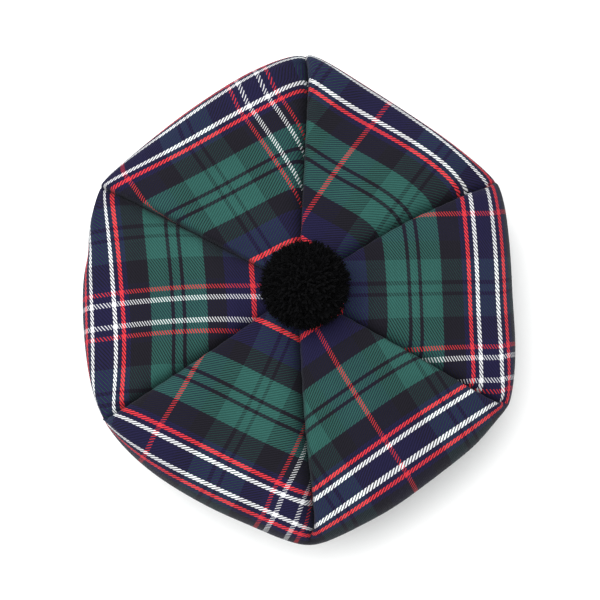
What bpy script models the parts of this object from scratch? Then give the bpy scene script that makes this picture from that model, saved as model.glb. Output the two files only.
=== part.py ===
"""A tam o' shanter: six cloth gores sewn edge to edge and into a headband, with a woolly pompom on the crown.

Metres, +Z up. The origin is the middle of the headband's lower edge, on the surface that the hat stands on, right
under the point where the six gores meet. The gores are named as on a map: +Y is north and +X is east.
"""

from collections import namedtuple
from math import cos, exp, pi, radians, sin
from random import Random

import bmesh
import bpy
from mathutils import Vector

MM = 0.001

# Driving dimensions, in millimetres.
CLOTH_WALL = 1.6            # two layers of tartan cloth
SEAM_GAP = 0.3              # left between neighbouring pieces
CENTRE_HOLE = 3.0           # cloth left off each gore's point, where the pompom's tie goes through
BAND_INNER_RADIUS = 91.5    # a head of 57 to 58 cm
BAND_WALL = 2.4
BAND_HEIGHT = 40.0
BAND_HEM = 0.5              # the rounding of the band's edges
BAND_SEGMENTS = 72
POMPOM_RADIUS = 26.0
POMPOM_HEIGHT = 33.0
POMPOM_BASE = 84.6          # its flat underside, just clear of the crown
POMPOM_LEAN = (2.5, -2.5)   # it has flopped this far off the middle, to the south-east
POMPOM_GROOVE = 0.09        # how deep the grooves between its locks are, as a share of its radius
LOCK_RADIUS = 0.155         # half the width of a lock, as a share of the same radius
TIE_RADIUS = 2.2
TIE_LENGTH = 6.5

# The seams between the gores, anticlockwise from the north: the direction of each, and how far from the middle it
# reaches at the inner white stripe (shoulder), at the outer white stripe (edge) and where the crown is widest (rim).
# sway bends it sideways halfway out, and tuck sinks it between the two white stripes.
Seam = namedtuple("Seam", "azimuth shoulder edge rim sway tuck")
SEAMS = {
    "north":      Seam(88.0, 135.5, 148.5, 150.5, 0.0, 2.0),
    "north_west": Seam(151.0, 134.5, 137.0, 138.0, -1.0, 2.0),
    "south_west": Seam(213.5, 132.5, 135.5, 139.5, 1.5, 2.0),
    "south":      Seam(274.0, 130.0, 144.5, 152.0, -2.0, 3.0),
    "south_east": Seam(331.0, 126.5, 137.5, 142.0, 0.0, 4.0),
    "north_east": Seam(390.5, 119.5, 133.0, 141.0, 3.5, 4.0),
}

# The gores, each between two seams: how far its middle reaches at the same three places, and how much the middle
# sags at the inner white stripe.
Gore = namedtuple("Gore", "first_seam second_seam shoulder edge rim sag")
GORES = {
    "gore_north_west": Gore("north", "north_west", 113.5, 127.5, 133.5, 0.0),
    "gore_west":       Gore("north_west", "south_west", 109.5, 123.5, 128.5, 2.0),
    "gore_south_west": Gore("south_west", "south", 116.0, 129.0, 138.0, 0.0),
    "gore_south_east": Gore("south", "south_east", 110.0, 128.0, 138.0, 2.5),
    "gore_east":       Gore("south_east", "north_east", 107.0, 121.5, 130.5, 1.0),
    "gore_north_east": Gore("north_east", "north", 114.0, 123.5, 132.0, 0.0),
}

# Sections of the cloth from the middle of the crown, over the rim and back to the headband. cloth is the distance
# along the cloth. shoulder, edge and rim say in what shares the section takes those reaches, and circle how far it
# has closed in on the headband's circle. Then come its height at the seams and in the middle of a gore, and the
# number of mesh rows up to the next section.
Section = namedtuple("Section", "cloth shoulder edge rim circle seam_height middle_height rows")
SECTIONS = [
    Section(0.0, 0.0, 0.0, 0.0, 0.0, 82.0, 82.0, 2),
    Section(14.0, 0.127, 0.0, 0.0, 0.0, 81.6, 83.2, 1),
    Section(27.5, 0.25, 0.0, 0.0, 0.0, 81.0, 84.0, 2),
    Section(60.0, 0.543, 0.0, 0.0, 0.0, 79.8, 84.8, 2),
    Section(88.0, 0.79, 0.0, 0.0, 0.0, 78.0, 83.8, 1),
    Section(104.0, 0.925, 0.0, 0.0, 0.0, 76.2, 82.0, 1),
    Section(113.0, 1.0, 0.0, 0.0, 0.0, 74.5, 80.0, 2),
    Section(127.0, 0.0, 1.0, 0.0, 0.0, 70.0, 75.5, 1),
    Section(131.5, 0.0, 0.57, 0.43, 0.0, 67.3, 72.5, 1),
    Section(137.0, 0.0, 0.2, 0.8, 0.0, 63.5, 67.5, 2),
    Section(144.0, 0.0, 0.0, 1.0, 0.0, 58.5, 60.5, 2),
    Section(151.0, 0.0, 0.1, 0.9, 0.0, 53.5, 53.5, 2),
    Section(161.0, 0.0, 0.8, 0.2, 0.06, 48.0, 45.5, 2),
    Section(173.0, 0.0, 1.0, 0.0, 0.35, 43.5, 39.8, 2),
    Section(184.0, 0.0, 1.0, 0.0, 0.7, 40.0, 37.0, 2),
    Section(195.0, 0.0, 1.0, 0.0, 1.0, 37.5, 37.5, 0),
]
COLUMNS = 13                # across each gore, closer together beside the seams
BOW_POWER = 2.4             # the side of the crown is a flat curve between its corners
PUFF_POWER = 5.0            # a gore rises quickly beside its seams and is then nearly flat
TUCK_PLACE, TUCK_SPREAD = 120.0, 9.0
SAG_PLACE, SAG_SPREAD = 108.0, 28.0

COLOURS = {                 # linear base colour, roughness
    "tartan green": ((0.032, 0.116, 0.096, 1.0), 0.85),
    "tartan navy": ((0.023, 0.026, 0.071, 1.0), 0.85),
    "black wool": ((0.006, 0.006, 0.007, 1.0), 0.95),
}


def smooth_curve(stations, values, at):
    """A cubic through the values, whose slope at each station is the weighted mean of the slopes on its two sides."""
    steps = [b - a for a, b in zip(stations, stations[1:])]
    rises = [(b - a) / step for a, b, step in zip(values, values[1:], steps)]
    slopes = [rises[0]]
    for i in range(1, len(rises)):
        slopes.append((rises[i - 1] * steps[i] + rises[i] * steps[i - 1]) / (steps[i] + steps[i - 1]))
    slopes.append(rises[-1])
    i = max(k for k in range(len(steps)) if stations[k] <= at or k == 0)
    step, t = steps[i], (at - stations[i]) / steps[i]
    return (
        (2 * t**3 - 3 * t**2 + 1) * values[i]
        + (t**3 - 2 * t**2 + t) * step * slopes[i]
        + (3 * t**2 - 2 * t**3) * values[i + 1]
        + (t**3 - t**2) * step * slopes[i + 1]
    )


def section_value(column, at):
    return smooth_curve([s.cloth for s in SECTIONS], [getattr(s, column) for s in SECTIONS], at)


def reach_at(line, at):
    """How far a seam or a gore's middle line is from the crown's middle, before it closes in on the headband."""
    reaches = [s.shoulder * line.shoulder + s.edge * line.edge + s.rim * line.rim for s in SECTIONS]
    return smooth_curve([s.cloth for s in SECTIONS], reaches, at)


def bump(at, place, spread):
    return exp(-(((at - place) / spread) ** 2))


def band_outer_radius():
    return BAND_INNER_RADIUS + BAND_WALL + SEAM_GAP


def seam_point(seam, at, side):
    """A point of a gore's edge. side is 1 where the gore lies anticlockwise of the seam and -1 on its other side."""
    reach = reach_at(seam, at)
    along = Vector((cos(radians(seam.azimuth)), sin(radians(seam.azimuth)), 0))
    across = Vector((-along.y, along.x, 0))
    sway = seam.sway * sin(pi * min(at / 125.0, 1.0))
    height = section_value("seam_height", at) - seam.tuck * bump(at, TUCK_PLACE, TUCK_SPREAD)
    return along * reach + across * (sway + side * SEAM_GAP / 2) + Vector((0, 0, height))


def gore_point(gore, at, u):
    """A point of the outer face of a gore: at is the distance along the cloth, u goes from -1 to 1 across it."""
    first = seam_point(SEAMS[gore.first_seam], at, 1)
    second = seam_point(SEAMS[gore.second_seam], at, -1)
    chord = second - first
    outward = Vector((chord.y, -chord.x, 0)).normalized()
    bow = (reach_at(gore, at) - first.dot(outward)) * (1 - abs(u) ** BOW_POWER)
    point = first.lerp(second, (1 + u) / 2) + outward * bow
    middle_height = section_value("middle_height", at) - gore.sag * bump(at, SAG_PLACE, SAG_SPREAD)
    point.z += (middle_height - (first.z + second.z) / 2) * (1 - abs(u) ** PUFF_POWER)

    circle = section_value("circle", at)
    edge_angle = SEAM_GAP / 2 / band_outer_radius()
    start = radians(SEAMS[gore.first_seam].azimuth) + edge_angle
    turn = (radians(SEAMS[gore.second_seam].azimuth) - start - edge_angle) % (2 * pi)
    angle = start + turn * (1 + u) / 2
    on_band = Vector((cos(angle), sin(angle), 0)) * band_outer_radius() + Vector((0, 0, point.z))
    return point.lerp(on_band, circle)


def cloth_stations():
    """The mesh rows, as distances along the cloth."""
    stations = []
    for section, following in zip(SECTIONS, SECTIONS[1:]):
        step = (following.cloth - section.cloth) / section.rows
        stations += [section.cloth + step * k for k in range(section.rows)]
    return [CENTRE_HOLE] + stations[1:] + [SECTIONS[-1].cloth]


def inward(gore, at, u):
    """The direction from the outer face into the wall. At a seam it stays in the seam's upright plane."""
    nudge = 0.5
    last = SECTIONS[-1].cloth
    down = gore_point(gore, min(at + nudge, last), u) - gore_point(gore, max(at - nudge, 0.5), u)
    if abs(u) == 1:
        azimuth = radians(SEAMS[gore.first_seam if u < 0 else gore.second_seam].azimuth)
        across = Vector((-sin(azimuth), cos(azimuth), 0))
    else:
        across = gore_point(gore, at, min(u + 0.02, 1)) - gore_point(gore, at, max(u - 0.02, -1))
    return across.cross(down).normalized()


def add_object(name, mesh_maker, colour):
    base, roughness = COLOURS[colour]
    material = bpy.data.materials.get(colour) or bpy.data.materials.new(colour)
    material.use_nodes = True
    shader = material.node_tree.nodes["Principled BSDF"]
    shader.inputs["Base Color"].default_value = base
    shader.inputs["Roughness"].default_value = roughness
    shader.inputs["Metallic"].default_value = 0.0

    mesh = bpy.data.meshes.new(name)
    body = bmesh.new()
    mesh_maker(body)
    bmesh.ops.recalc_face_normals(body, faces=body.faces)
    body.to_mesh(mesh)
    body.free()
    mesh.materials.append(material)
    mesh.shade_smooth()
    mesh.set_sharp_from_angle(angle=radians(50))
    item = bpy.data.objects.new(name, mesh)
    bpy.context.scene.collection.objects.link(item)
    return item


def make_gore(gore):
    """A closed wall of cloth: its outer face, its inner face, and a strip round the edge."""
    def fill(body):
        stations = cloth_stations()
        across = [sin((2 * k / (COLUMNS - 1) - 1) * pi / 2) for k in range(COLUMNS)]
        across[0], across[-1] = -1.0, 1.0
        outer, inner = [], []
        for at in stations:
            points = [gore_point(gore, at, u) for u in across]
            walls = [inward(gore, at, u) * CLOTH_WALL for u in across]
            outer.append([body.verts.new(p * MM) for p in points])
            inner.append([body.verts.new((p + w) * MM) for p, w in zip(points, walls)])
        for face in (outer, inner):
            for row, following in zip(face, face[1:]):
                for k in range(COLUMNS - 1):
                    body.faces.new((row[k], row[k + 1], following[k + 1], following[k]))

        def edge_loop(face):
            left = [row[0] for row in face]
            right = [row[-1] for row in face]
            return face[0] + right[1:] + face[-1][-2::-1] + left[-2:0:-1]

        rim, lining = edge_loop(outer), edge_loop(inner)
        for k in range(len(rim)):
            following = (k + 1) % len(rim)
            body.faces.new((rim[k], rim[following], lining[following], lining[k]))
    return fill


def make_headband(body):
    """An upright strip turned round the head, with eased edges and a flat foot."""
    inner, outer = BAND_INNER_RADIUS, BAND_INNER_RADIUS + BAND_WALL
    profile = [
        (inner + BAND_HEM, 0), (outer - BAND_HEM, 0), (outer, BAND_HEM), (outer, BAND_HEIGHT - BAND_HEM),
        (outer - BAND_HEM, BAND_HEIGHT), (inner + BAND_HEM, BAND_HEIGHT), (inner, BAND_HEIGHT - BAND_HEM),
        (inner, BAND_HEM),
    ]
    corners = [body.verts.new((radius * MM, 0, height * MM)) for radius, height in profile]
    edges = [body.edges.new((a, b)) for a, b in zip(corners, corners[1:] + corners[:1])]
    bmesh.ops.spin(
        body, geom=corners + edges, cent=(0, 0, 0), axis=(0, 0, 1), angle=2 * pi, steps=BAND_SEGMENTS, use_merge=True
    )
    bmesh.ops.remove_doubles(body, verts=body.verts, dist=0.01 * MM)


def make_pompom(body):
    """A flattened ball of locks of yarn. Each lock is round a point of a coarse ball, and the grooves lie between."""
    uneven = Random(5)
    coarse = bmesh.new()
    bmesh.ops.create_icosphere(coarse, subdivisions=2, radius=1)
    locks = [(vert.co.copy(), uneven.uniform(0.975, 1.025)) for vert in coarse.verts]
    coarse.free()
    bmesh.ops.create_icosphere(body, subdivisions=4, radius=1)
    middle = POMPOM_HEIGHT * 0.44
    for vert in body.verts:
        distance, reach = min(((vert.co - tip).length, reach) for tip, reach in locks)
        vert.co *= reach - POMPOM_GROOVE * min(distance / LOCK_RADIUS, 1.0) ** 3
        stretch = (POMPOM_HEIGHT - middle) if vert.co.z > 0 else POMPOM_RADIUS
        height = max(middle + vert.co.z * stretch, 0)
        east, north = (vert.co.x * POMPOM_RADIUS + POMPOM_LEAN[0], vert.co.y * POMPOM_RADIUS + POMPOM_LEAN[1])
        vert.co = Vector((east, north, POMPOM_BASE + height)) * MM


def make_tie(body):
    """The yarn that holds the pompom, down through the hole where the gores meet."""
    tie_top = POMPOM_BASE + 4.0
    tie_bottom = POMPOM_BASE - TIE_LENGTH
    bmesh.ops.create_cone(
        body, cap_ends=True, segments=10, radius1=TIE_RADIUS * MM, radius2=TIE_RADIUS * MM,
        depth=(tie_top - tie_bottom) * MM,
    )
    bmesh.ops.translate(body, verts=body.verts, vec=(0, 0, (tie_top + tie_bottom) / 2 * MM))


def build_hat():
    for name, gore in GORES.items():
        add_object(name, make_gore(gore), "tartan green")
    add_object("headband", make_headband, "tartan navy")

    pompom = add_object("pompom", make_pompom, "black wool")
    tie = add_object("pompom_tie", make_tie, "black wool")
    tie.hide_render = True
    tie.display_type = "WIRE"
    union = pompom.modifiers.new("tie", "BOOLEAN")
    union.operation = "UNION"
    union.object = tie


for old in list(bpy.data.objects):
    bpy.data.objects.remove(old)
build_hat()
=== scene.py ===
from math import cos, pi, radians, sin

import bmesh
import bpy
import numpy as np
from mathutils import Euler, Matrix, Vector, noise


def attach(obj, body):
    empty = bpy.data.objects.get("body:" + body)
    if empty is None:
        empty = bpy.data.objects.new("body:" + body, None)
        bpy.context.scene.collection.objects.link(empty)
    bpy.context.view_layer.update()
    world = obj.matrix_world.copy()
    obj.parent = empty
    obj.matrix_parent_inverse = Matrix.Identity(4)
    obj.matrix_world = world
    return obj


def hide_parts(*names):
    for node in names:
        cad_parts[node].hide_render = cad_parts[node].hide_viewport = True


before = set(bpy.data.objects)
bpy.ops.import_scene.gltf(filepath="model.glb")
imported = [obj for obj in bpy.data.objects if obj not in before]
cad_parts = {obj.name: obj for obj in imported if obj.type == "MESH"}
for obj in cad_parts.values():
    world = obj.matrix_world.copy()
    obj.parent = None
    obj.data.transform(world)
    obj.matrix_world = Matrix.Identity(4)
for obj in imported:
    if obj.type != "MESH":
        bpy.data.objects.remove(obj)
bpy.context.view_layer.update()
mm = 0.001
print("frame loaded:", ", ".join(sorted(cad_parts)))


# helpers for colours, nodes, meshes and curves

def linearColour(hexCode):
    def toLinear(part):
        return part / 12.92 if part <= 0.04045 else ((part + 0.055) / 1.055) ** 2.4
    return [toLinear(int(hexCode[k:k + 2], 16) / 255) for k in (1, 3, 5)] + [1.0]


def addNode(tree, kind, settings=None, inputs=None):
    node = tree.nodes.new(kind)
    for name, value in (settings or {}).items():
        setattr(node, name, value)
    for name, value in (inputs or {}).items():
        if isinstance(value, bpy.types.NodeSocket):
            tree.links.new(value, node.inputs[name])
        else:
            node.inputs[name].default_value = value
    return node


def mathIn(tree):
    # a shorthand for the tree's sums
    def math(operation, *values):
        return addNode(tree, "ShaderNodeMath", {"operation": operation}, dict(enumerate(values))).outputs[0]
    return math


def newMaterial(name, surface):
    # surface gives the shader's own sockets what is the same all over
    material = bpy.data.materials.new(name)
    material.use_nodes = True
    tree = material.node_tree
    tree.nodes.clear()
    shader = addNode(tree, "ShaderNodeBsdfPrincipled", inputs=surface)
    addNode(tree, "ShaderNodeOutputMaterial", inputs={"Surface": shader.outputs["BSDF"]})
    return material, tree, shader


def addRelief(tree, shader, height, strength, depth):
    # depth in mm
    relief = addNode(tree, "ShaderNodeBump", inputs={
        "Strength": strength, "Distance": depth * mm, "Height": height})
    tree.links.new(relief.outputs["Normal"], shader.inputs["Normal"])


def placed(name, mesh):
    mesh.shade_smooth()
    piece = bpy.data.objects.new(name, mesh)
    bpy.context.scene.collection.objects.link(piece)
    return piece


def meshPiece(name, vertices, faces, material, uvs=None):
    mesh = bpy.data.meshes.new(name)
    mesh.from_pydata([tuple(v) for v in vertices], [], faces)
    if uvs is not None:  # one place on the flat cloth for each vertex
        corners = np.zeros(len(mesh.loops), np.int32)
        mesh.loops.foreach_get("vertex_index", corners)
        layer = mesh.uv_layers.new(name="cloth")
        layer.data.foreach_set("uv", np.asarray(uvs, np.float32)[corners].ravel())
    mesh.materials.append(material)
    mesh.validate()
    return placed(name, mesh)


def smoothCurve(stations, values, at):
    # a cubic through the values; its slope at a station is the weighted mean of those on its two sides
    stations, values = np.asarray(stations, float), np.asarray(values, float)
    steps = np.diff(stations)
    rises = np.diff(values) / steps
    slopes = np.concatenate([
        rises[:1], (rises[:-1] * steps[1:] + rises[1:] * steps[:-1]) / (steps[1:] + steps[:-1]), rises[-1:]])
    at = np.asarray(at, float)
    i = np.clip(np.searchsorted(stations, at, side="right") - 1, 0, len(steps) - 1)
    step = steps[i]
    t = (at - stations[i]) / step
    return (
        (2 * t**3 - 3 * t**2 + 1) * values[i] + (t**3 - 2 * t**2 + t) * step * slopes[i]
        + (3 * t**2 - 2 * t**3) * values[i + 1] + (t**3 - t**2) * step * slopes[i + 1])


def bump(at, place, spread):
    return np.exp(-(((at - place) / spread) ** 2))


def ramp(at, start, end):
    # from 0 at the start to 1 at the end
    return np.clip((at - start) / (end - start), 0, 1)


# tartan: worsted wool woven in a two-over-two twill, which gives slanting ribs and a soft, dry surface

tartan = {
    "warpThread": 0.42,  # mm from one warp end to the next; these run along the rim of the hat
    "weftThread": 0.64,  # mm from one pick to the next, packed less tightly than the warp
    "pivot": 26.5,  # mm of cloth from the middle of the crown to the red line that the sett turns on
    "weftShows": (0.20, 0.36),  # the part of the face that is weft, for a fine yarn and for a thick one
    "warpStretched": 0.8,  # how thick a warp thread is beside a weft thread of the same yarn
    "weftPaintedShade": 0.15,  # painted shade: how much darker a fine weft is painted for lying lower than the warp, in the shade of its ribs
    # what a yarn's colour is multiplied by where it crosses a black yarn, and a green one
    "lentLight": (0.92, 1.17),
    "lentLevels": (0.01, 0.07),  # the green light from a black yarn, and from a green one
    # how softly a yarn ends, and how far in it has its full height, on a rib that is 1 wide
    "yarnEdge": 0.07,
    "yarnRise": 0.34,
    # painted shade and highlight: how bright the sides of a fine yarn are painted, and of a thick one, which
    # is rounder; then how bright its top is painted
    "paintedYarnSideShade": (0.62, 0.46),
    "paintedYarnTopLight": 1.05,
    "uneven": (0.06, 0.08),  # each thread is dyed and spun a little unevenly: the warp, and the weft
    # loose fibres, 0.4 mm: how many to a metre, and how much they change the colour
    "fibres": (2400.0, 0.18),
    "pressed": (28.0, 0.07),  # pressing marks, 35 mm, in the same way
    "ribHeight": 0.25,  # mm
    "weftHeight": 0.75,  # a share of that, as is the next
    "fibreHeight": 0.35,
    "relief": 0.55,  # how strongly all this shows
    "surface": {
        "Roughness": 0.88, "IOR": 1.54, "Specular IOR Level": 0.14, "Sheen Weight": 0.05,
        "Sheen Roughness": 0.45, "Sheen Tint": (0.75, 0.8, 0.95, 1.0)},
    "yarns": {  # colour, and how thickly it is spun, from 0 to 1
        "red": ("#cd313b", 0.9), "white": ("#d6d7d9", 1.0), "navy": ("#181536", 0.25),
        "black": ("#15131c", 0.25), "green": ("#234c46", 0.0)},
    # the sett from one turning point to the other, half of the first stripe and half of the last: how wide
    # each stripe is in the warp and in the weft, in warp threads
    "sett": [
        ("red", 2.6, 2.9), ("navy", 36.2, 35), ("black", 27.2, 26.6), ("green", 31, 30.4),
        ("black", 5.5, 5.3), ("green", 11, 10.6), ("black", 5.5, 5.3), ("green", 30.5, 29.7),
        ("black", 32.5, 31.8), ("navy", 7.6, 7.4), ("red", 6, 6.5), ("navy", 7.2, 8.25), ("white", 6, 6.5),
        ("navy", 12.5, 12.75)],
}


def settRamp(tree, threads, way):
    # threads counts along the cloth; the sett runs to its far turning point and back again. way is 0 for the
    # warp's stripes and 1 for the weft's
    math = mathIn(tree)
    total = sum(stripe[1 + way] for stripe in tartan["sett"])
    share = math("DIVIDE", math("PINGPONG", threads, total), total)
    stripes = addNode(tree, "ShaderNodeValToRGB", inputs={"Fac": share})
    stripes.color_ramp.interpolation = "CONSTANT"
    elements = stripes.color_ramp.elements
    elements.remove(elements[1])
    begins = 0
    for k, (yarn, *counts) in enumerate(tartan["sett"]):
        stop = elements[0] if k == 0 else elements.new(begins / total)
        stop.position = begins / total
        colour, thickness = tartan["yarns"][yarn]
        stop.color = linearColour(colour)[:3] + [thickness]
        begins += counts[way]
    return stripes.outputs["Color"], stripes.outputs["Alpha"]  # the alpha carries the thickness


def makeTartan(name):
    material, tree, shader = newMaterial(name, tartan["surface"])
    math = mathIn(tree)

    def remap(value, low, high, toLow, toHigh, smooth=False):
        kind = "SMOOTHSTEP" if smooth else "LINEAR"
        node = addNode(tree, "ShaderNodeMapRange", {"interpolation_type": kind}, {
            "Value": value, "From Min": low, "From Max": high, "To Min": toLow, "To Max": toHigh})
        return node.outputs["Result"]

    place = addNode(tree, "ShaderNodeUVMap", {"uv_map": "cloth"})
    split = addNode(tree, "ShaderNodeSeparateXYZ", inputs={"Vector": place.outputs["UV"]})
    across, along = split.outputs["X"], split.outputs["Y"]  # metres of cloth

    # the threads, counted both ways
    warpCount = math("DIVIDE", math("SUBTRACT", along, tartan["pivot"] * mm), tartan["warpThread"] * mm)
    settAcross = math("DIVIDE", across, tartan["warpThread"] * mm)
    weftCount = math("DIVIDE", across, tartan["weftThread"] * mm)
    warpColour, warpThickness = settRamp(tree, warpCount, 0)
    weftColour, weftThickness = settRamp(tree, settAcross, 1)

    # the twill: each warp thread goes over two picks and under two, a step further on than its neighbour
    step = math("MULTIPLY", math("ADD", warpCount, weftCount), 0.5)
    rib = math("PINGPONG", step, 1.0)
    fine, thick = tartan["weftShows"]
    # the warp is stretched thinner on the loom
    thicker = math("MAXIMUM", weftThickness, math("MULTIPLY", warpThickness, tartan["warpStretched"]))
    turn = math("ADD", math("MULTIPLY", thicker, thick - fine), fine)
    pastTurn = math("SUBTRACT", rib, turn)
    onTop = remap(pastTurn, -tartan["yarnEdge"], tartan["yarnEdge"], 0.0, 1.0, smooth=True)
    rise = remap(math("ABSOLUTE", pastTurn), 0.0, tartan["yarnRise"], 0.0, 1.0, smooth=True)
    onFace = addNode(tree, "ShaderNodeMix", inputs={0: onTop, 2: weftThickness, 3: warpThickness}).outputs[0]
    # painted shade: each yarn's colour is darkened towards its sides, where the ribs shade one another, and
    # lightened a little on its top
    fineSideShade, thickSideShade = tartan["paintedYarnSideShade"]
    side = math("SUBTRACT", fineSideShade, math("MULTIPLY", onFace, fineSideShade - thickSideShade))
    rounded = math("ADD", side, math("MULTIPLY", rise, math("SUBTRACT", tartan["paintedYarnTopLight"], side)))

    def threadShade(count, amount):
        level = addNode(tree, "ShaderNodeTexWhiteNoise", {"noise_dimensions": "1D"}, {
            "W": math("FLOOR", count)})
        return remap(level.outputs["Value"], 0.0, 1.0, 1 - amount, 1 + amount)

    # light goes through one yarn and out of the next, so green over green is brighter than over black
    def lentBy(colour):
        level = addNode(tree, "ShaderNodeSeparateColor", inputs={"Color": colour}).outputs["Green"]
        return remap(level, *tartan["lentLevels"], *tartan["lentLight"])

    def scaled(colour, *factors):
        for factor in factors:
            node = addNode(tree, "ShaderNodeVectorMath", {"operation": "SCALE"}, {0: colour, "Scale": factor})
            colour = node.outputs["Vector"]
        return colour

    # painted shade on a fine weft, which lies low between the warp's ribs
    sunkWeftShade = remap(weftThickness, 0.0, 1.0, 1 - tartan["weftPaintedShade"], 1.0)
    unevenWarp, unevenWeft = tartan["uneven"]
    warpShade = scaled(warpColour, threadShade(warpCount, unevenWarp), lentBy(weftColour))
    weftShade = scaled(weftColour, threadShade(weftCount, unevenWeft), sunkWeftShade, lentBy(warpColour))
    woven = addNode(tree, "ShaderNodeMix", {"data_type": "RGBA"}, {
        0: onTop, 6: weftShade, 7: warpShade}).outputs[2]

    # loose fibres and pressing marks, with the painted shade on the yarns' sides and the painted highlight on
    # their tops
    def marks(scale, detail, roughness):
        node = addNode(tree, "ShaderNodeTexNoise", {"noise_dimensions": "2D"}, {
            "Vector": place.outputs["UV"], "Scale": scale, "Detail": detail, "Roughness": roughness})
        return node.outputs["Fac"]

    fibreScale, fibreShade = tartan["fibres"]
    pressedScale, pressedShade = tartan["pressed"]
    fibres, pressed = marks(fibreScale, 2.0, 0.6), marks(pressedScale, 3.0, 0.55)
    shaded = scaled(
        woven, rounded, remap(fibres, 0.25, 0.75, 1 - fibreShade, 1 + fibreShade),
        remap(pressed, 0.3, 0.7, 1 - pressedShade, 1 + pressedShade))
    tree.links.new(shaded, shader.inputs["Base Color"])

    # the ribs stand proud, those of the warp a little more than those of the weft
    ribs = math("MULTIPLY", rise, remap(onTop, 0.0, 1.0, tartan["weftHeight"], 1.0))
    height = math("ADD", ribs, math("MULTIPLY", fibres, tartan["fibreHeight"]))
    addRelief(tree, shader, height, tartan["relief"], tartan["ribHeight"])
    return material


tartanTwill = makeTartan("worsted_tartan_twill")
print("tartan made")


# the crown: six gores of cloth, each from the middle of the crown, over the rim and back to the headband

crown = {
    "wall": 1.3,  # mm
    # a gore rises at once beside a seam where it lies on top, and slowly where it falls away
    "puffPower": (16.0, 3.6),
    "bandRadius": 94.2,
    # of the mesh, along the cloth: from, to, how many
    "rows": [(3, 103, 57), (103, 163, 61), (163, 195, 17)],
    "columns": 97,
    # where along the cloth something happens: its middle and spread, or its start and end
    "tuckAt": (120.0, 9.0),
    "sagAt": (108.0, 28.0),
    "swayUpTo": 125.0,
    "brimAt": (100, 120),
    "creaseAt": (12, 42),
    "innerStripesAt": (85, 110),
    "outerStripesAt": (118, 126),
    "edgeAt": 127,  # the outer white stripe; past it the cloth is measured
    "end": 195,
    # the creep of the cloth beside the seams: its middle and spread along the cloth on the crown, how far
    # from the seam it reaches there and how far at the inner stripes
    "creepAt": (65.0, 45.0),
    "creepReach": (6, 12),
    "stripesFrom": 80,  # the stripes' places hold at this distance; their slant and bow are for 100 mm more
}

# each seam, in mm and degrees
# reach: at the inner white stripe, at the outer one and at the widest place
# aside: how far it strays sideways at the same places; sway: how far it swings aside on its way out
# tuck: how far down it is pulled at its corner; corner: over how far that corner is rounded
# valley: how wide its falling side is; brim: how deep that is on the brim, next to the crown
# crease: how much deeper the seam itself lies, and how wide; edge: how far back the turned edge goes
seams = {
    "north": {
        "azimuth": 88.0, "reach": (133.0, 148.8, 155.7), "aside": (-1.2, 0.3, 0.8), "sway": 0.0,
        "tuck": 2.0, "corner": 8.0, "valley": 6.0, "brim": 1.4, "crease": (6.0, 1.8), "edge": 1.8},
    "north_west": {
        "azimuth": 151.0, "reach": (135.0, 138.8, 138.8), "aside": (1.3, 0.2, 0.0), "sway": -1.0,
        "tuck": 2.0, "corner": 14.0, "valley": 4.8, "brim": 0.1, "crease": (6.0, 1.4), "edge": 1.6},
    "south_west": {
        "azimuth": 213.5, "reach": (133.5, 140.2, 140.6), "aside": (1.0, 0.5, -1.0), "sway": 1.5,
        "tuck": 2.0, "corner": 13.0, "valley": 4.8, "brim": 0.1, "crease": (8.0, 1.9), "edge": 2.0},
    "south": {
        "azimuth": 274.0, "reach": (129.5, 145.0, 153.6), "aside": (-0.5, -1.4, -3.6), "sway": -2.0,
        "tuck": 3.0, "corner": 8.0, "valley": 6.5, "brim": 1.4, "crease": (8.5, 2.8), "edge": 2.2},
    "south_east": {
        "azimuth": 331.0, "reach": (125.0, 138.8, 145.0), "aside": (0.5, 1.4, 3.0), "sway": 0.0,
        "tuck": 4.0, "corner": 7.0, "valley": 4.8, "brim": 0.95, "crease": (8.5, 2.0), "edge": 2.6},
    "north_east": {
        "azimuth": 390.5, "reach": (121.5, 135.5, 143.6), "aside": (0.5, -0.5, 0.5), "sway": 3.5,
        "tuck": 4.0, "corner": 8.0, "valley": 4.8, "brim": 0.8, "crease": (7.0, 1.8), "edge": 2.2},
}

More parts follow.
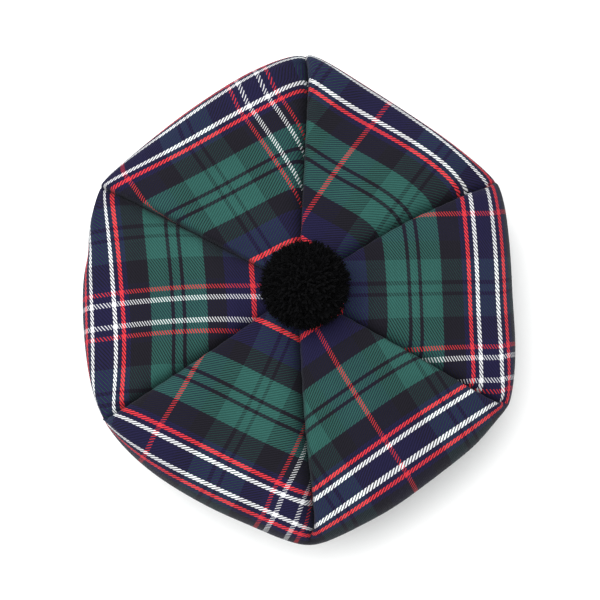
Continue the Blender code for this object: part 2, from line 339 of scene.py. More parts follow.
# each gore, in mm
# reach: of its middle, at the same three places; skew: how it bows more to one side there
# bowPower: how flat its edge runs there; sag: how far its middle sags
# stripeAt: where across it the sett turns; slant and bow: how the stripes lean and curve on their way out
# ease: how the sewing has eased the cloth along the rim; shear: how that changes on the way out
# creep: how far the cloth was eased outwards beside its first seam and its second, on the crown, at the inner
# stripes and at the outer ones, and how far from the seam that last one reaches
gores = {
    "gore_north_west": {
        "seams": ("north", "north_west"), "reach": (113.0, 128.0, 132.9), "skew": (-0.5, -1.0, -1.0),
        "bowPower": (2.4, 2.4, 2.4), "sag": 0.0, "stripeAt": 53.6, "slant": 5.8, "bow": 0.0,
        "ease": 1.01, "shear": 0.0, "creep": ((-1.6, 2.6, 8.5, 30), (0.0, 0.0, 0.0, 14))},
    "gore_west": {
        "seams": ("north_west", "south_west"), "reach": (110.0, 123.5, 129.9), "skew": (-0.5, 0.0, 0.2),
        "bowPower": (2.4, 5.0, 2.0), "sag": 2.0, "stripeAt": -86.3, "slant": 1.0, "bow": 4.3,
        "ease": 1.05, "shear": 0.0, "creep": ((0.0, 0.0, 9.5, 36), (0.0, 0.0, 7.5, 20))},
    "gore_south_west": {
        "seams": ("south_west", "south"), "reach": (115.5, 129.5, 137.1), "skew": (1.0, -1.0, -1.0),
        "bowPower": (2.4, 2.4, 2.4), "sag": 0.0, "stripeAt": -32.8, "slant": -5.5, "bow": -11.0,
        "ease": 0.948, "shear": 0.1, "creep": ((0.0, 0.0, 8.5, 18), (0.0, 1.8, 1.5, 14))},
    "gore_south_east": {
        "seams": ("south", "south_east"), "reach": (108.5, 124.0, 138.0), "skew": (-0.5, 0.0, 0.1),
        "bowPower": (2.4, 2.4, 2.4), "sag": 2.5, "stripeAt": -4.3, "slant": 0.0, "bow": 4.0,
        "ease": 1.0, "shear": 0.0, "creep": ((0.0, -1.4, -0.5, 14), (0.0, -3.0, 0.5, 14))},
    "gore_east": {
        "seams": ("south_east", "north_east"), "reach": (107.6, 121.0, 130.7), "skew": (0.5, 0.0, -0.2),
        "bowPower": (2.4, 3.0, 2.4), "sag": 1.0, "stripeAt": 43.2, "slant": 4.1, "bow": 8.0,
        "ease": 1.033, "shear": 0.0, "creep": ((0.0, 2.6, 4.0, 14), (0.0, -0.4, -3.5, 14))},
    "gore_north_east": {
        "seams": ("north_east", "north"), "reach": (113.5, 128.0, 131.9), "skew": (-2.0, -0.5, -0.1),
        "bowPower": (2.4, 2.4, 2.4), "sag": 0.0, "stripeAt": 13.0, "slant": -8.7, "bow": 0.0,
        "ease": 1.0, "shear": 0.0, "creep": ((0.0, 1.3, 1.0, 14), (-1.4, 0.0, 7.0, 22))},
}

# the cloth's section, out from the middle of the crown; cloth is the distance along it, in mm
# shoulder, edge and rim: the shares of the three reaches; circle: how far it has closed in on the headband
# seamHeight and middleHeight: its height at the seams and in the middle of a gore
# drawnIn: how deep it is drawn in along a seam; rounded: how far the corner there is rounded off, 0 to 1
sections = {
    "cloth":        [0, 14, 27.5, 60, 88, 104, 113, 127, 131.5, 137, 144, 151, 161, 173, 184, 195],
    "shoulder":     [0, 0.127, 0.25, 0.543, 0.79, 0.925, 1, 0, 0, 0, 0, 0, 0, 0, 0, 0],
    "edge":         [0, 0, 0, 0, 0, 0, 0, 1, 0.57, 0.2, 0, 0.1, 0.8, 1, 1, 1],
    "rim":          [0, 0, 0, 0, 0, 0, 0, 0, 0.43, 0.8, 1, 0.9, 0.2, 0, 0, 0],
    "circle":       [0, 0, 0, 0, 0, 0, 0, 0, 0, 0, 0, 0, 0.06, 0.35, 0.7, 1],
    "seamHeight":   [82, 81.6, 81, 79.8, 78, 76.2, 74.5, 70, 67.3, 63.5, 58.5, 53.5, 48, 43.5, 40, 37.5],
    "middleHeight": [82, 83.2, 84, 84.8, 83.8, 82, 80, 75.5, 72.5, 67.5, 60.5, 53.5, 45.5, 39.8, 37, 37.5],
    "drawnIn":      [0.5, 2.2, 3.5, 4.6, 4.9, 4.9, 4.7, 2.8, 1.5, 0.6, 0.1, 0, 0.1, 0.4, 0.6, 0.3],
    "rounded":      [0, 0, 0, 0, 0, 0, 0.1, 0.6, 0.85, 0.95, 1, 1, 1, 0.8, 0.4, 0],
}

# how the cloth meets at a seam: one gore lies on top, with its edge turned straight down, and its neighbour
# falls away under it in a soft valley; lengths in mm
folds = {
    "lower": {
        "north": "gore_north_west", "north_west": "gore_west", "south_west": "gore_west",
        "south": "gore_south_west", "south_east": "gore_east", "north_east": "gore_north_east"},
    "takenUp": 0.3,  # the share of the valley's length that the falling cloth follows; the rest was eased in
    "puckers": 0.25,  # from the stitches of the seam
    "puckerLength": 9.0,
    "puckerReach": (1.5, 9.0),  # how far from the seam they set in and die away
    "dents": 0.9,  # the slow unevenness of soft cloth
    "dentLength": 42.0,
    "dentsOff": 5.0,  # how far all dents keep off the seams
}

# single soft dents: where across the gore (-1 to 1) and along the cloth, how wide, how long and how deep
dents = {
    "gore_north_west": [(-0.90, 122, 6, 8, 2.2), (0.30, 138, 30, 12, -0.6)],
    "gore_west": [(-0.42, 139, 10, 14, 1.3), (0.15, 100, 20, 30, 0.6)],
    "gore_south_west": [(0.45, 146, 24, 12, 0.8)],
    "gore_south_east": [(0.82, 150, 14, 14, 1.0)],
    "gore_east": [(-0.82, 119, 8, 7, 1.2), (0.0, 146, 22, 12, 0.6)],
    "gore_north_east": [(-0.86, 119, 7, 7, 1.6)],
}


def sectionCurve(column, at):
    return smoothCurve(sections["cloth"], sections[column], at)


def blendedAt(values, at):
    # three values, for the inner white stripe, the outer one and the widest place
    shares = [np.array(sections[name], float) for name in ("shoulder", "edge", "rim")]
    return smoothCurve(sections["cloth"], sum(share * value for share, value in zip(shares, values)), at)


def seamLine(seam, at):
    azimuth = radians(seam["azimuth"])
    reach = blendedAt(seam["reach"], at)
    aside = seam["sway"] * np.sin(pi * np.minimum(at / crown["swayUpTo"], 1.0)) + blendedAt(seam["aside"], at)
    height = sectionCurve("seamHeight", at) - seam["tuck"] * bump(at, *crown["tuckAt"])
    return np.stack([
        reach * cos(azimuth) - aside * sin(azimuth), reach * sin(azimuth) + aside * cos(azimuth), height], -1)


def goreSurface(name, gore, at, u):
    # the outer face before its folds: at is the distance along the cloth, u goes from -1 to 1 across the gore
    firstSeam, secondSeam = (seams[seamName] for seamName in gore["seams"])
    first, second = seamLine(firstSeam, at), seamLine(secondSeam, at)
    chord = second - first
    length = np.hypot(chord[..., 0], chord[..., 1]) + 1e-9
    outward = np.stack([chord[..., 1] / length, -chord[..., 0] / length, 0 * length], -1)
    plain = 2.4  # how flat the edge of a gore is on the crown
    power = plain + blendedAt([value - plain for value in gore["bowPower"]], at)
    bow = (blendedAt(gore["reach"], at) - (first * outward).sum(-1)) * (1 - np.abs(u) ** power)
    bow = bow + blendedAt(gore["skew"], at) * 2.6 * (u - u**3)  # 2.6 makes the most of that 1
    points = first * ((1 - u) / 2)[..., None] + second * ((1 + u) / 2)[..., None] + outward * bow[..., None]
    middle = sectionCurve("middleHeight", at) - gore["sag"] * bump(at, *crown["sagAt"])
    falls = [folds["lower"][seamName] == name for seamName in gore["seams"]]
    puff = np.where(u < 0, crown["puffPower"][falls[0]], crown["puffPower"][falls[1]])
    points[..., 2] += (middle - (first[..., 2] + second[..., 2]) / 2) * (1 - np.abs(u) ** puff)

    start = radians(firstSeam["azimuth"])
    angle = start + (radians(secondSeam["azimuth"]) - start) % (2 * pi) * (1 + u) / 2
    onBand = np.stack([
        crown["bandRadius"] * np.cos(angle), crown["bandRadius"] * np.sin(angle), points[..., 2]], -1)
    closed = sectionCurve("circle", at)[..., None]
    return points * (1 - closed) + onBand * closed


def cornerSlope(seamName, at):
    # how steeply the outline falls back from a seam, as the mean of its two sides
    azimuth = radians(seams[seamName]["azimuth"])
    outward = np.array([cos(azimuth), sin(azimuth), 0])
    slopes = []
    for name, gore in gores.items():
        if seamName in gore["seams"]:
            end = -1.0 if gore["seams"][0] == seamName else 1.0
            edge, beside = (goreSurface(name, gore, at, np.full_like(at, u)) for u in (end, end * 0.96))
            slopes.append((edge - beside) @ outward / np.linalg.norm(edge - beside, axis=1))
    return np.maximum((slopes[0] + slopes[1]) / 2, 0)


def lengthAlong(points, axis):
    steps = np.cumsum(np.linalg.norm(np.diff(points, axis=axis), axis=2), axis=axis)
    return np.insert(steps, 0, 0.0, axis=axis)


def inwardOf(gore, points):
    # into the wall; at a seam it stays in the seam's upright plane, so that neighbours meet all along it
    down = np.gradient(points, axis=0)
    across = np.gradient(points, axis=1)
    for k, name in ((0, gore["seams"][0]), (-1, gore["seams"][1])):
        azimuth = radians(seams[name]["azimuth"])
        across[:, k] = (-sin(azimuth), cos(azimuth), 0)
    inward = np.cross(across, down)
    return inward / np.linalg.norm(inward, axis=-1, keepdims=True)


def foldedAt(name, seamName, side, rows, distance, inward):
    # how far the fold at one of its seams moves each point of a gore
    seam = seams[seamName]
    onBrim = 1 + (seam["brim"] - 1) * ramp(rows, *crown["brimAt"])
    drawnIn = (sectionCurve("drawnIn", rows) * onBrim)[:, None]
    deepest, width = seam["crease"]
    edge, crease = (size * drawnIn / drawnIn.max() for size in (seam["edge"], deepest))
    crease = crease * ramp(rows, *crown["creaseAt"])[:, None]
    if folds["lower"][seamName] == name:
        drawn = drawnIn * np.exp(-distance / seam["valley"])
        drawn = drawn + crease * np.exp(-distance / width)
        aside = -edge * np.exp(-distance / seam["valley"])
    else:
        drawn = (drawnIn + crease) * np.exp(-((distance / seam["edge"]) ** 2))
        aside = (distance**4 + edge**4) ** 0.25 - distance
    rounded = (sectionCurve("rounded", rows) * cornerSlope(seamName, rows) * seam["corner"])[:, None]
    drawn = drawn + rounded * np.exp(-distance / seam["corner"])
    azimuth = radians(seam["azimuth"])
    level = np.array([-sin(azimuth), cos(azimuth), 0]) * (1, -1)[side]
    return drawn[..., None] * inward[:, [-side]] + aside[..., None] * level


def pushedIn(name, base, at, distances, seed):
    # how far puckers, slow unevenness and single dents push the cloth in; all of them die away at the seams
    rows, cross = at[:, 0], distances[0]
    push = np.zeros_like(at)
    fade = (ramp(rows, 0, 30) * ramp(rows, crown["end"], crown["end"] - 30))[:, None]
    setsIn, reach = folds["puckerReach"]
    for distance in distances:
        wave = np.sin(rows / folds["puckerLength"] * 2 * pi + seed + 2.0 * np.sin(rows / 17.0))[:, None]
        push += folds["puckers"] * wave * np.exp(-distance / reach) * (1 - np.exp(-distance / setsIn)) * fade
    offSeams = 1 - np.exp(-np.minimum(*distances) / folds["dentsOff"])
    free = (ramp(rows, 0, 40) * ramp(rows, crown["end"], crown["end"] - 40))[:, None] * offSeams
    aside = Vector((seed * 7.1, 0, 0))  # so that no two gores have the same dents
    uneven = np.array([
        [noise.noise(Vector(point / folds["dentLength"]) + aside) for point in row] for row in base])
    push += folds["dents"] * uneven * free
    for place, onCloth, width, length, depth in dents[name]:
        fromDent = cross - (1 + place) / 2 * cross[:, -1:]
        push += depth * bump(fromDent, 0.0, width) * bump(at, onCloth, length) * offSeams
    return push


def onFlatCloth(name, gore, at, u, base, outer, distances):
    # where each point lies on the flat cloth, in mm: across, from where the sett turns, and along
    rows, cross, middle = at[:, 0], distances[0], at.shape[1] // 2
    plain, followed = cross - cross[:, [middle]], lengthAlong(outer, 1)
    followed = followed - followed[:, [middle]]
    takenUp = [folds["takenUp"] if folds["lower"][seamName] == name else 1.0 for seamName in gore["seams"]]
    across = plain + (followed - plain) * np.where(u < 0, takenUp[0], takenUp[1])
    down = lengthAlong(base, 0)
    edgeRow = int(np.argmin(np.abs(rows - crown["edgeAt"])))
    along = np.where(at <= rows[edgeRow], at, rows[edgeRow] + down - down[edgeRow])
    toOuter = ramp(at, *crown["outerStripesAt"])
    toInner = ramp(at, *crown["innerStripesAt"]) * (1 - toOuter)
    crownReach, innerReach = crown["creepReach"]
    for (atCrown, atInner, atOuter, outerReach), distance in zip(gore["creep"], distances):
        along = along - atCrown * np.exp(-distance / crownReach) * bump(at, *crown["creepAt"]) * (1 - toOuter)
        along = along - atInner * np.exp(-distance / innerReach) * toInner
        along = along - atOuter * np.exp(-distance / outerReach) * toOuter
    far = (along - crown["stripesFrom"]) / 100
    across = across - gore["stripeAt"] - gore["slant"] * far - gore["bow"] * far**2
    return across / (gore["ease"] + gore["shear"] * far), along


def closedWall(outer, inner):
    # the points and faces of the outer face, the inner face and a strip round the edge
    rowCount, columnCount = outer.shape[:2]
    index = np.arange(rowCount * columnCount).reshape(rowCount, columnCount)
    faces = []
    for grid, outside in ((index, True), (index + index.size, False)):
        for i in range(rowCount - 1):
            for j in range(columnCount - 1):
                corners = [grid[i, j], grid[i + 1, j], grid[i + 1, j + 1], grid[i, j + 1]]
                faces.append(corners if outside else corners[::-1])
    loop = list(index[0]) + list(index[1:, -1]) + list(index[-1, -2::-1]) + list(index[-2:0:-1, 0])
    for a, b in zip(loop, loop[1:] + loop[:1]):
        faces.append([a, b, b + index.size, a + index.size])
    points = np.concatenate([outer.reshape(-1, 3), inner.reshape(-1, 3)])
    return points, [[int(v) for v in face] for face in faces]


def makeGore(name, gore, seed):
    rows = np.unique(np.concatenate([np.linspace(*part) for part in crown["rows"]]))
    columns = np.sin(np.linspace(-1, 1, crown["columns"]) * pi / 2)
    at, u = np.meshgrid(rows, columns, indexing="ij")
    base = goreSurface(name, gore, at, u)
    cross = lengthAlong(base, 1)
    distances = cross, cross[:, -1:] - cross  # from the first seam and from the second
    inward = inwardOf(gore, base)
    moved = sum(
        foldedAt(name, seamName, side, rows, distance, inward)
        for side, (seamName, distance) in enumerate(zip(gore["seams"], distances)))
    outer = base + moved + inward * pushedIn(name, base, at, distances, seed)[..., None]
    inner = outer + inwardOf(gore, outer) * crown["wall"]

    across, along = onFlatCloth(name, gore, at, u, base, outer, distances)
    flat = np.stack([across.ravel(), along.ravel()], -1) * mm
    points, faces = closedWall(outer, inner)
    piece = meshPiece(name + "_cloth", points * mm, faces, tartanTwill, np.concatenate([flat, flat]))
    piece.data.set_sharp_from_angle(angle=radians(60))

    # the size of the cloth that it was cut from
    width = float(cross[:, -1].max()) * mm
    length = float(along.max()) * mm
    sides = np.cross(base[1:, 1:] - base[:-1, :-1], base[1:, :-1] - base[:-1, 1:])
    area = float(np.linalg.norm(sides, axis=-1).sum() / 2) * mm * mm
    return piece, (width, length), area


for number, (name, gore) in enumerate(gores.items()):
    piece, flat, area = makeGore(name, gore, 1.7 * number)
    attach(piece, "root")
    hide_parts(name)
    print(name, "flat", [round(v, 3) for v in flat], "area", round(area, 4))


# helpers for what Geometry Nodes make: the headband, its stitches and the pompom

def newTree(name, given):
    # a geometry tree with those inputs; gives back the tree, its inputs and the shorthand for its sums
    tree = bpy.data.node_groups.new(name, "GeometryNodeTree")
    tree.is_modifier = True
    tree.interface.new_socket("Geometry", in_out="INPUT", socket_type="NodeSocketGeometry")
    for label, kind in given.items():
        tree.interface.new_socket(label, in_out="INPUT", socket_type="NodeSocket" + kind)
    tree.interface.new_socket("Geometry", in_out="OUTPUT", socket_type="NodeSocketGeometry")
    return tree, addNode(tree, "NodeGroupInput").outputs, mathIn(tree)


def finishTree(tree, geometry, material):
    real = addNode(tree, "GeometryNodeRealizeInstances", inputs={"Geometry": geometry})
    painted = addNode(tree, "GeometryNodeSetMaterial", inputs={
        "Geometry": real.outputs["Geometry"], "Material": material})
    addNode(tree, "NodeGroupOutput", inputs={"Geometry": painted.outputs["Geometry"]})
    return tree


def grown(name, mesh, tree, values):
    # the tree's result on that mesh, as a plain mesh
    holder = bpy.data.objects.new(name + "_holder", mesh)
    bpy.context.scene.collection.objects.link(holder)
    modifier = holder.modifiers.new("grow", "NODES")
    modifier.node_group = tree
    for item in tree.interface.items_tree:
        if item.in_out == "INPUT" and item.name in values:
            modifier[item.identifier] = values[item.name]
    graph = bpy.context.evaluated_depsgraph_get()
    result = bpy.data.meshes.new_from_object(holder.evaluated_get(graph), depsgraph=graph)
    result.name = name
    result.materials.clear()
    result.materials.append(values["Material"])
    result.polygons.foreach_set("material_index", np.zeros(len(result.polygons), np.int32))
    holder.modifiers.remove(modifier)
    bpy.data.objects.remove(holder)
    return result


def grownPiece(name, tree, values):
    return placed(name, grown(name, bpy.data.meshes.new(name + "_start"), tree, values))


# the headband: a doubled strip of the same cloth, turned under at the foot and stitched there

headband = {
    # metres, but for the counts; Foot is where on the sett its foot lies, and Thread half a thread's
    # thickness
    "cloth": {
        "Radius": 92.7 * mm, "Thickness": 2.4 * mm, "Height": 40.0 * mm, "Round": 1.0 * mm, "Around": 241,
        "Rows": 76, "Uneven": 0.12 * mm, "Foot": 62.0 * mm},
    "stitches": {
        "Radius": 94.05 * mm, "Height": 5.5 * mm, "Count": 148, "Length": 3.0 * mm, "Thread": 0.28 * mm},
    "hem": 2.0 * mm,  # the cloth turned in at its edges
    "threadColours": ("#100e1c", "#26233b"),
    "threadTwist": (3000.0, 0.08),  # its fine unevenness, 0.3 mm: how many to a metre, and its relief in mm
    "threadSurface": {"Roughness": 0.6, "Specular IOR Level": 0.35},
}


def bandTree():
    tree, given, math = newTree("band of cloth", {
        "Radius": "Float", "Thickness": "Float", "Height": "Float", "Round": "Float", "Around": "Int",
        "Rows": "Int", "Uneven": "Float", "Foot": "Float", "Material": "Material"})
    # the section, with rounded edges
    block = addNode(tree, "GeometryNodeCurvePrimitiveQuadrilateral", inputs={
        "Width": given["Thickness"], "Height": given["Height"]})
    eased = addNode(tree, "GeometryNodeFilletCurve", {"mode": "POLY"}, {
        "Curve": block.outputs["Curve"], "Count": 4, "Radius": given["Round"]})
    section = addNode(tree, "GeometryNodeResampleCurve", inputs={
        "Curve": eased.outputs["Curve"], "Count": given["Rows"]})
    # an open ring, so that the cloth can be measured right round it; its two ends are merged at last
    ring = addNode(tree, "GeometryNodeCurveArc", inputs={
        "Resolution": given["Around"], "Radius": given["Radius"], "Sweep Angle": 2 * pi})
    level = addNode(tree, "GeometryNodeSetCurveNormal", {"mode": "Z_UP"}, {"Curve": ring.outputs["Curve"]})
    roundIt = addNode(tree, "GeometryNodeSplineParameter")
    measured = addNode(tree, "GeometryNodeStoreNamedAttribute", {"data_type": "FLOAT", "domain": "POINT"}, {
        "Geometry": level.outputs["Curve"], "Name": "across", "Value": roundIt.outputs["Length"]})
    strip = addNode(tree, "GeometryNodeCurveToMesh", inputs={
        "Curve": measured.outputs["Geometry"], "Profile Curve": section.outputs["Curve"]})

    # raised onto its foot, and a little uneven away from its two edges
    place = addNode(tree, "GeometryNodeInputPosition")
    high = addNode(tree, "ShaderNodeSeparateXYZ", inputs={"Vector": place.outputs["Position"]}).outputs["Z"]
    middle = addNode(tree, "ShaderNodeMapRange", {"interpolation_type": "SMOOTHSTEP"}, {
        "Value": math("ABSOLUTE", math("DIVIDE", high, given["Height"])), "From Min": 0.25, "From Max": 0.45,
        "To Min": 1.0, "To Max": 0.0})
    swell = addNode(tree, "ShaderNodeTexNoise", inputs={
        "Vector": place.outputs["Position"], "Scale": 40.0, "Detail": 1.0})  # 25 mm
    swing = math("SUBTRACT", swell.outputs["Fac"], 0.5)
    much = math("MULTIPLY", math("MULTIPLY", swing, given["Uneven"]), 2.0)
    flat = addNode(tree, "ShaderNodeVectorMath", {"operation": "MULTIPLY"}, {
        0: place.outputs["Position"], 1: (1, 1, 0)})
    outward = addNode(tree, "ShaderNodeVectorMath", {"operation": "NORMALIZE"}, {0: flat.outputs["Vector"]})
    moved = addNode(tree, "ShaderNodeVectorMath", {"operation": "SCALE"}, {
        0: outward.outputs["Vector"], "Scale": math("MULTIPLY", much, middle.outputs["Result"])})
    up = addNode(tree, "ShaderNodeCombineXYZ", inputs={"Z": math("MULTIPLY", given["Height"], 0.5)})
    both = addNode(tree, "ShaderNodeVectorMath", {"operation": "ADD"}, {
        0: moved.outputs["Vector"], 1: up.outputs[0]})
    stood = addNode(tree, "GeometryNodeSetPosition", inputs={
        "Geometry": strip.outputs["Mesh"], "Offset": both.outputs["Vector"]})

    # where each corner lies on the flat cloth
    across = addNode(tree, "GeometryNodeInputNamedAttribute", {"data_type": "FLOAT"}, {"Name": "across"})
    cloth = addNode(tree, "ShaderNodeCombineXYZ", inputs={
        "X": across.outputs["Attribute"], "Y": math("ADD", high, given["Foot"])})
    laid = addNode(tree, "GeometryNodeStoreNamedAttribute", {"data_type": "FLOAT2", "domain": "CORNER"}, {
        "Geometry": stood.outputs["Geometry"], "Name": "cloth", "Value": cloth.outputs["Vector"]})
    closed = addNode(tree, "GeometryNodeMergeByDistance", inputs={
        "Geometry": laid.outputs["Geometry"], "Distance": 0.05 * mm})
    return finishTree(tree, closed.outputs["Geometry"], given["Material"])


def stitchTree():
    # a row of stitches round the band, each a short thread lying along it
    tree, given, math = newTree("row of stitches", {
        "Radius": "Float", "Height": "Float", "Count": "Int", "Length": "Float", "Thread": "Float",
        "Material": "Material"})
    ring = addNode(tree, "GeometryNodeCurvePrimitiveCircle", inputs={
        "Resolution": 240, "Radius": given["Radius"]})
    up = addNode(tree, "ShaderNodeCombineXYZ", inputs={"Z": given["Height"]})
    raised = addNode(tree, "GeometryNodeTransform", inputs={
        "Geometry": ring.outputs["Curve"], "Translation": up.outputs[0]})
    spots = addNode(tree, "GeometryNodeCurveToPoints", inputs={
        "Curve": raised.outputs["Geometry"], "Count": given["Count"]})
    thread = addNode(tree, "GeometryNodeMeshUVSphere", inputs={"Segments": 6, "Rings": 5, "Radius": 1.0})
    form = addNode(tree, "ShaderNodeCombineXYZ", inputs={
        "X": given["Thread"], "Y": given["Thread"], "Z": math("MULTIPLY", given["Length"], 0.5)})
    sewn = addNode(tree, "GeometryNodeInstanceOnPoints", inputs={
        "Points": spots.outputs["Points"], "Instance": thread.outputs["Mesh"],
        "Rotation": spots.outputs["Rotation"], "Scale": form.outputs[0]})
    return finishTree(tree, sewn.outputs["Instances"], given["Material"])


def makeSewingThread():
    # cotton sewing thread: fine and tightly twisted, so it has a faint gloss beside the dry wool
    material, tree, shader = newMaterial("navy_cotton_sewing_thread", headband["threadSurface"])
    scale, depth = headband["threadTwist"]
    place = addNode(tree, "ShaderNodeTexCoord")
    twist = addNode(tree, "ShaderNodeTexNoise", inputs={
        "Vector": place.outputs["Object"], "Scale": scale, "Detail": 1.0})
    dark, light = (linearColour(colour) for colour in headband["threadColours"])
    tone = addNode(tree, "ShaderNodeMix", {"data_type": "RGBA"}, {0: twist.outputs["Fac"], 6: dark, 7: light})
    tree.links.new(tone.outputs[2], shader.inputs["Base Color"])
    addRelief(tree, shader, twist.outputs["Fac"], 0.5, depth)
    return material


sewingThread = makeSewingThread()
band = grownPiece("headband_cloth", bandTree(), {**headband["cloth"], "Material": tartanTwill})
stitches = grownPiece("headband_stitches", stitchTree(), {**headband["stitches"], "Material": sewingThread})
for piece in (band, stitches):
    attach(piece, "root")
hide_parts("headband")
print("faces of the band and of its stitches:", len(band.data.polygons), len(stitches.data.polygons))


# the pompom: black woollen knitting yarn, cut and fluffed, which is matt with a faint grey bloom

pompom = {
    # mm, but for middle, which is where it is widest as a share of its height
    "radius": 26.4, "height": 33.0, "base": 84.6, "middle": 0.44, "lean": (4.6, -1.9),
    # its share of the size, and how high its underside lies, to fill the hollow at the seams
    "core": (0.74, -3.0),
    # the strands stand on a ball of the share called on; length and thickness in mm
    "strands": {
        "yarn": {
            "Count": 1250, "Length": 7.6, "Radius": 1.05, "Around": 6, "Bend": 0.35, "Wild": 0.45,
            "on": 0.72},
        "fibre": {
            "Count": 5200, "Length": 4.2, "Radius": 0.13, "Around": 3, "Bend": 0.8, "Wild": 1.2,
            "on": 0.88},
    },
    "strandsFoot": 0.8,  # how high the underside of those balls lies
    "seed": 11,
    "tones": [(0.3, "#020203"), (0.75, "#0b0b0d")],
    "locks": 260.0,  # how many lighter and darker locks to a metre, 4 mm
    "twist": (2200.0, 0.3),  # the yarn's own unevenness: how many to a metre, and its relief in mm
    "surface": {"Roughness": 0.95, "Specular IOR Level": 0.06, "Sheen Weight": 0.01, "Sheen Roughness": 0.5},
}


def makePompomWool():
    material, tree, shader = newMaterial("cut_woollen_yarn", pompom["surface"])
    scale, depth = pompom["twist"]
    place = addNode(tree, "ShaderNodeTexCoord")
    tone = addNode(tree, "ShaderNodeTexNoise", inputs={
        "Vector": place.outputs["Object"], "Scale": pompom["locks"], "Detail": 3.0})
    shades = addNode(tree, "ShaderNodeValToRGB", inputs={"Fac": tone.outputs["Fac"]})
    for element, (position, colour) in zip(shades.color_ramp.elements, pompom["tones"]):
        element.position, element.color = position, linearColour(colour)
    tree.links.new(shades.outputs["Color"], shader.inputs["Base Color"])
    twist = addNode(tree, "ShaderNodeTexNoise", inputs={
        "Vector": place.outputs["Object"], "Scale": scale, "Detail": 2.0})
    addRelief(tree, shader, twist.outputs["Fac"], 0.6, depth)
    return material


pompomWool = makePompomWool()


def pompomForm(share, foot):
    # a ball of that share of the size, whose flat underside lies that high over the base
    mesh = bpy.data.meshes.new("pompom_core")
    body = bmesh.new()
    bmesh.ops.create_icosphere(body, subdivisions=4, radius=1)
    middle = pompom["height"] * pompom["middle"]
    for vert in body.verts:
        up = (pompom["height"] - middle) if vert.co.z > 0 else pompom["radius"]
        height = max(middle + vert.co.z * up * share, foot)
        vert.co = Vector((
            vert.co.x * pompom["radius"] * share + pompom["lean"][0],
            vert.co.y * pompom["radius"] * share + pompom["lean"][1], pompom["base"] + height)) * mm
    bmesh.ops.recalc_face_normals(body, faces=body.faces)
    body.to_mesh(mesh)
    body.free()
    mesh.materials.append(pompomWool)
    return mesh


def strandTree(name):
    # strands scattered over a surface and standing up from it
    tree, given, math = newTree(name, {
        "Count": "Int", "Length": "Float", "Radius": "Float", "Around": "Int", "Bend": "Float",
        "Wild": "Float", "Seed": "Int", "Material": "Material"})

    # one strand: a short curved line of three plies, twisted along its length and thinner at the tip
    line = addNode(tree, "GeometryNodeCurveQuadraticBezier", inputs={"Resolution": 4, "Start": (0, 0, 0)})
    for key, high, aside in (("Middle", 0.55, 0.35), ("End", 1.0, 1.0)):
        point = addNode(tree, "ShaderNodeCombineXYZ", inputs={
            "X": math("MULTIPLY", math("MULTIPLY", given["Length"], aside), given["Bend"]),
            "Y": 0.0, "Z": math("MULTIPLY", given["Length"], high)})
        tree.links.new(point.outputs[0], line.inputs[key])
    along = addNode(tree, "GeometryNodeSplineParameter")
    thin = addNode(tree, "ShaderNodeMapRange", inputs={
        "Value": along.outputs["Factor"], "From Min": 0.55, "From Max": 1.0, "To Min": 1.0, "To Max": 0.45})
    twisted = addNode(tree, "GeometryNodeSetCurveTilt", inputs={
        "Curve": line.outputs["Curve"], "Tilt": math("MULTIPLY", along.outputs["Factor"], 2.6)})
    plies = addNode(tree, "GeometryNodeCurveStar", inputs={
        "Points": 3, "Inner Radius": math("MULTIPLY", given["Radius"], 0.72),
        "Outer Radius": given["Radius"]})
    section = addNode(tree, "GeometryNodeResampleCurve", inputs={
        "Curve": plies.outputs["Curve"], "Count": given["Around"]})
    strand = addNode(tree, "GeometryNodeCurveToMesh", inputs={
        "Curve": twisted.outputs["Curve"], "Profile Curve": section.outputs["Curve"], "Fill Caps": True,
        "Scale": thin.outputs["Result"]})

    # spread evenly over the faces that don't look straight down
    normal = addNode(tree, "GeometryNodeInputNormal")
    up = addNode(tree, "ShaderNodeSeparateXYZ", inputs={"Vector": normal.outputs["Normal"]})
    chosen = addNode(tree, "FunctionNodeCompare", {"operation": "GREATER_THAN"}, {
        0: up.outputs["Z"], 1: -0.75})
    area = addNode(tree, "GeometryNodeInputMeshFaceArea")
    total = addNode(tree, "GeometryNodeAttributeStatistic", {"domain": "FACE"}, {
        "Geometry": given["Geometry"], "Attribute": area.outputs["Area"]})
    density = math("DIVIDE", given["Count"], total.outputs["Sum"])
    spread = addNode(tree, "GeometryNodeDistributePointsOnFaces", inputs={
        "Mesh": given["Geometry"], "Selection": chosen.outputs["Result"], "Density": density,
        "Seed": given["Seed"]})
    # each leans a little, is turned any way and has its own size
    most = addNode(tree, "ShaderNodeCombineXYZ", inputs={"X": given["Wild"], "Y": given["Wild"], "Z": 3.14})
    least = addNode(tree, "ShaderNodeVectorMath", {"operation": "SCALE"}, {0: most.outputs[0], "Scale": -1.0})
    lean = addNode(tree, "FunctionNodeRandomValue", {"data_type": "FLOAT_VECTOR"}, {
        0: least.outputs["Vector"], 1: most.outputs[0], "Seed": given["Seed"]})
    turned = addNode(tree, "FunctionNodeRotateRotation", {"rotation_space": "LOCAL"}, {
        "Rotation": spread.outputs["Rotation"], "Rotate By": lean.outputs[0]})
    size = addNode(tree, "FunctionNodeRandomValue", {"data_type": "FLOAT"}, {
        2: 0.78, 3: 1.12, "Seed": math("ADD", given["Seed"], 3)})
    planted = addNode(tree, "GeometryNodeInstanceOnPoints", inputs={
        "Points": spread.outputs["Points"], "Instance": strand.outputs["Mesh"],
        "Rotation": turned.outputs["Rotation"], "Scale": size.outputs[1]})
    return finishTree(tree, planted.outputs["Instances"], given["Material"])


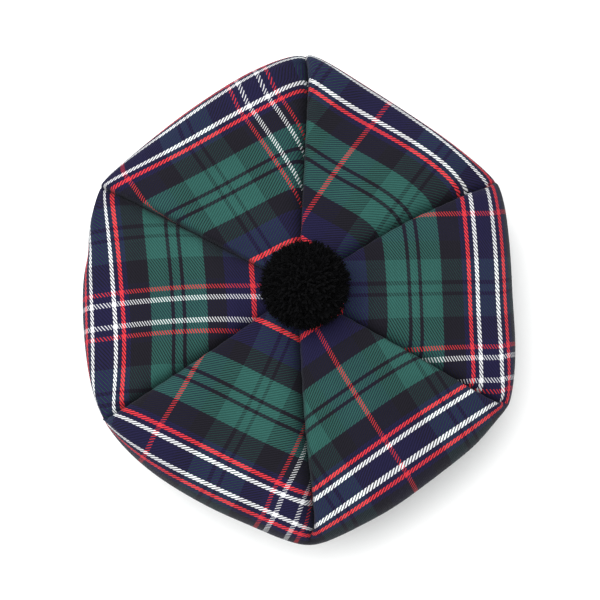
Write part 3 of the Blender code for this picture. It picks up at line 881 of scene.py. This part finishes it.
def makePompom():
    tree = strandTree("standing strands")
    parts = [pompomForm(*pompom["core"])]
    for number, (label, strand) in enumerate(pompom["strands"].items()):
        values = {key: value * mm if key in ("Length", "Radius") else value for key, value in strand.items()}
        values.update({"Seed": pompom["seed"] + 20 * number, "Material": pompomWool})
        parts.append(grown("pompom_" + label, pompomForm(strand["on"], pompom["strandsFoot"]), tree, values))
    body = bmesh.new()
    for part in parts:
        body.from_mesh(part)
    mesh = bpy.data.meshes.new("pompom_wool")
    body.to_mesh(mesh)
    body.free()
    mesh.materials.append(pompomWool)
    return placed("pompom_wool", mesh)


tuft = makePompom()
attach(tuft, "root")
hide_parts("pompom")
print("pompom made:", len(tuft.data.polygons), "faces")


# the studio: a white floor, soft light from above and the camera over the hat

studio = {
    # metres, degrees, and watts for the key light
    "floor": {"Base Color": linearColour("#ffffff"), "Roughness": 0.9, "Specular IOR Level": 0.1},
    "floorSize": 6.0, "sky": 0.78, "key": 71.0, "keySize": 2.4, "keyAt": (-0.6, 0.15, 2.2),
    "elevation": 77.5, "distance": 1.6, "aim": (0.0015, 0.0002, 0.048), "view": 13.05,
}


def makeStudio():
    material = newMaterial("matt_white_paper", studio["floor"])[0]  # a plain matt sweep
    size = studio["floorSize"]
    corners = [(-size, -size, 0), (size, -size, 0), (size, size, 0), (-size, size, 0)]
    floor = meshPiece("floor", corners, [(0, 1, 2, 3)], material)

    world = bpy.data.worlds.new("studio")
    bpy.context.scene.world = world
    world.use_nodes = True
    background = world.node_tree.nodes["Background"]
    background.inputs["Color"].default_value = (1.0, 1.0, 1.0, 1.0)
    background.inputs["Strength"].default_value = studio["sky"]

    lamp = bpy.data.lights.new("key", "AREA")
    lamp.energy = studio["key"]
    lamp.size = studio["keySize"]
    key = bpy.data.objects.new("key", lamp)
    key.location = studio["keyAt"]
    key.rotation_euler = (Vector((0, 0, 0.05)) - key.location).to_track_quat("-Z", "Y").to_euler()
    bpy.context.scene.collection.objects.link(key)

    camera = bpy.data.objects.new("camera", bpy.data.cameras.new("camera"))
    camera.data.sensor_fit = "HORIZONTAL"
    camera.data.angle = radians(studio["view"])
    tilt = radians(studio["elevation"])
    aim = Vector(studio["aim"])
    camera.location = aim + Vector((0, -cos(tilt), sin(tilt))) * studio["distance"]
    camera.rotation_euler = Euler((pi / 2 - tilt, 0, 0))
    bpy.context.scene.collection.objects.link(camera)
    bpy.context.scene.camera = camera
    bpy.context.scene.view_settings.view_transform = "Standard"


makeStudio()
print("studio made")
